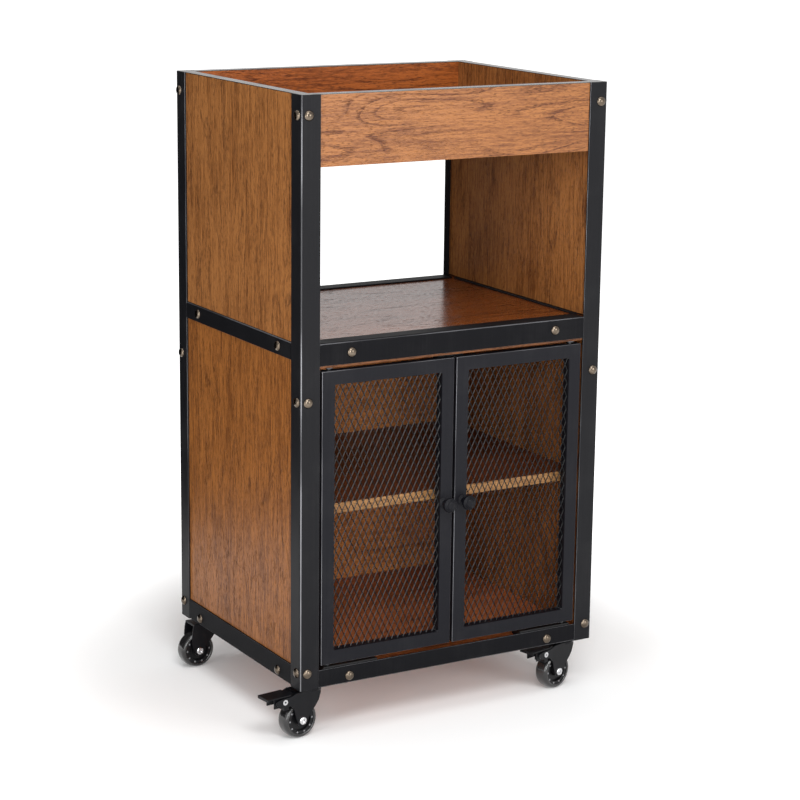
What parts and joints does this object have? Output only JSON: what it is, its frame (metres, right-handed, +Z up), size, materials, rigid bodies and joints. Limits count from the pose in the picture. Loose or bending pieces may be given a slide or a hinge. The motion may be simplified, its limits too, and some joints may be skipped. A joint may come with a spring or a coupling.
{
  "type": "microwave cart",
  "caption": "Rolling microwave cart with an angle-steel frame, wood boards, an open tray and bay, and a mesh-door cabinet on swivel castors.",
  "frame": {"origin": "on the floor under the middle of the steel frame's footprint", "axes": "+Z up, front with the doors towards -Y, right-hand side of a person facing the doors towards +X"},
  "size_m": [0.5547, 0.4262, 0.922],
  "materials": {
    "frame_steel": "semi-gloss black paint",
    "door_steel": "satin dark grey paint",
    "castor_steel": "black coating",
    "wood": "semi-gloss brown veneer",
    "edge_band": "dark semi-gloss band",
    "screw_bronze": "antique bronze",
    "bright_steel": "bright zinc",
    "knob_metal": "dark satin metal",
    "black_plastic": "matte",
    "wheel_core": "satin",
    "tyre": "smoky translucent polyurethane"
  },
  "bodies": {
    "cart": {"back_apron": "wood", "back_bottom_rail": "frame_steel", "back_left_post": "frame_steel", "back_panel": "wood", "back_right_post": "frame_steel", "back_shelf_rail": "frame_steel", "bottom_board": "wood", "castor_stems": "bright_steel", "door_header": "wood", "frame_screws": "screw_bronze", "front_apron": "wood", "front_bottom_rail": "frame_steel", "front_left_post": "frame_steel", "front_right_post": "frame_steel", "front_shelf_rail": "frame_steel", "inner_shelf": "wood", "left_bottom_rail": "frame_steel", "left_lower_panel": "wood", "left_shelf_rail": "frame_steel", "left_upper_panel": "wood", "magnetic_catch": "black_plastic", "microwave_shelf": "wood", "pivot_blocks": "black_plastic", "pivot_bushes": "bright_steel", "right_bottom_rail": "frame_steel", "right_lower_panel": "wood", "right_shelf_rail": "frame_steel", "right_upper_panel": "wood", "shelf_pins": "bright_steel", "top_edge_bands": "edge_band", "tray_floor": "wood"},
    "left_door": {"left_door_frame": "door_steel", "left_door_mesh": "door_steel", "left_door_knob": "knob_metal", "left_door_pivot_pins": "bright_steel"},
    "right_door": {"right_door_frame": "door_steel", "right_door_mesh": "door_steel", "right_door_knob": "knob_metal", "right_door_pivot_pins": "bright_steel"},
    "front_left_fork": {"front_left_castor_fork": "castor_steel", "front_left_axle_bolt": "bright_steel", "front_left_brake_rivet": "bright_steel"},
    "front_left_wheel": {"front_left_tyre": "tyre", "front_left_wheel_core": "wheel_core"},
    "front_left_pedal": {"front_left_brake_pedal": "castor_steel"},
    "front_right_fork": {"front_right_castor_fork": "castor_steel", "front_right_axle_bolt": "bright_steel", "front_right_brake_rivet": "bright_steel"},
    "front_right_wheel": {"front_right_tyre": "tyre", "front_right_wheel_core": "wheel_core"},
    "front_right_pedal": {"front_right_brake_pedal": "castor_steel"},
    "back_left_fork": {"back_left_castor_fork": "castor_steel", "back_left_axle_bolt": "bright_steel"},
    "back_left_wheel": {"back_left_tyre": "tyre", "back_left_wheel_core": "wheel_core"},
    "back_right_fork": {"back_right_castor_fork": "castor_steel", "back_right_axle_bolt": "bright_steel"},
    "back_right_wheel": {"back_right_tyre": "tyre", "back_right_wheel_core": "wheel_core"}
  },
  "joints": [
    {"name": "left_door_hinge", "type": "hinge", "parent": "cart", "child": "left_door", "pos_m": [-0.202, -0.191, 0.3], "axis": [0, 0, -1], "range_deg": [0, 110]},
    {"name": "right_door_hinge", "type": "hinge", "parent": "cart", "child": "right_door", "pos_m": [0.202, -0.191, 0.3], "axis": [0, 0, 1], "range_deg": [0, 110]},
    {"name": "front_left_swivel", "type": "hinge", "parent": "cart", "child": "front_left_fork", "pos_m": [-0.219, -0.17, 0.071], "axis": [0, 0, 1], "continuous": true},
    {"name": "front_left_roll", "type": "hinge", "parent": "front_left_fork", "child": "front_left_wheel", "pos_m": [-0.24034, -0.17262, 0.0275], "axis": [0.1219, -0.9925, 0], "continuous": true},
    {"name": "front_left_brake", "type": "hinge", "parent": "front_left_fork", "child": "front_left_pedal", "pos_m": [-0.27061, -0.17634, 0.0615], "axis": [0.1219, -0.9925, 0], "range_deg": [0, 12]},
    {"name": "front_right_swivel", "type": "hinge", "parent": "cart", "child": "front_right_fork", "pos_m": [0.219, -0.17, 0.071], "axis": [0, 0, 1], "continuous": true},
    {"name": "front_right_roll", "type": "hinge", "parent": "front_right_fork", "child": "front_right_wheel", "pos_m": [0.19814, -0.1752, 0.0275], "axis": [0.2419, -0.9703, 0], "continuous": true},
    {"name": "front_right_brake", "type": "hinge", "parent": "front_right_fork", "child": "front_right_pedal", "pos_m": [0.16854, -0.18258, 0.0615], "axis": [0.2419, -0.9703, 0], "range_deg": [0, 12]},
    {"name": "back_left_swivel", "type": "hinge", "parent": "cart", "child": "back_left_fork", "pos_m": [-0.219, 0.17, 0.071], "axis": [0, 0, 1], "continuous": true},
    {"name": "back_left_roll", "type": "hinge", "parent": "back_left_fork", "child": "back_left_wheel", "pos_m": [-0.24047, 0.16887, 0.0275], "axis": [0.0523, -0.9986, 0], "continuous": true},
    {"name": "back_right_swivel", "type": "hinge", "parent": "cart", "child": "back_right_fork", "pos_m": [0.219, 0.17, 0.071], "axis": [0, 0, 1], "continuous": true},
    {"name": "back_right_roll", "type": "hinge", "parent": "back_right_fork", "child": "back_right_wheel", "pos_m": [0.19951, 0.16091, 0.0275], "axis": [0.4226, -0.9063, 0], "continuous": true}
  ]
}
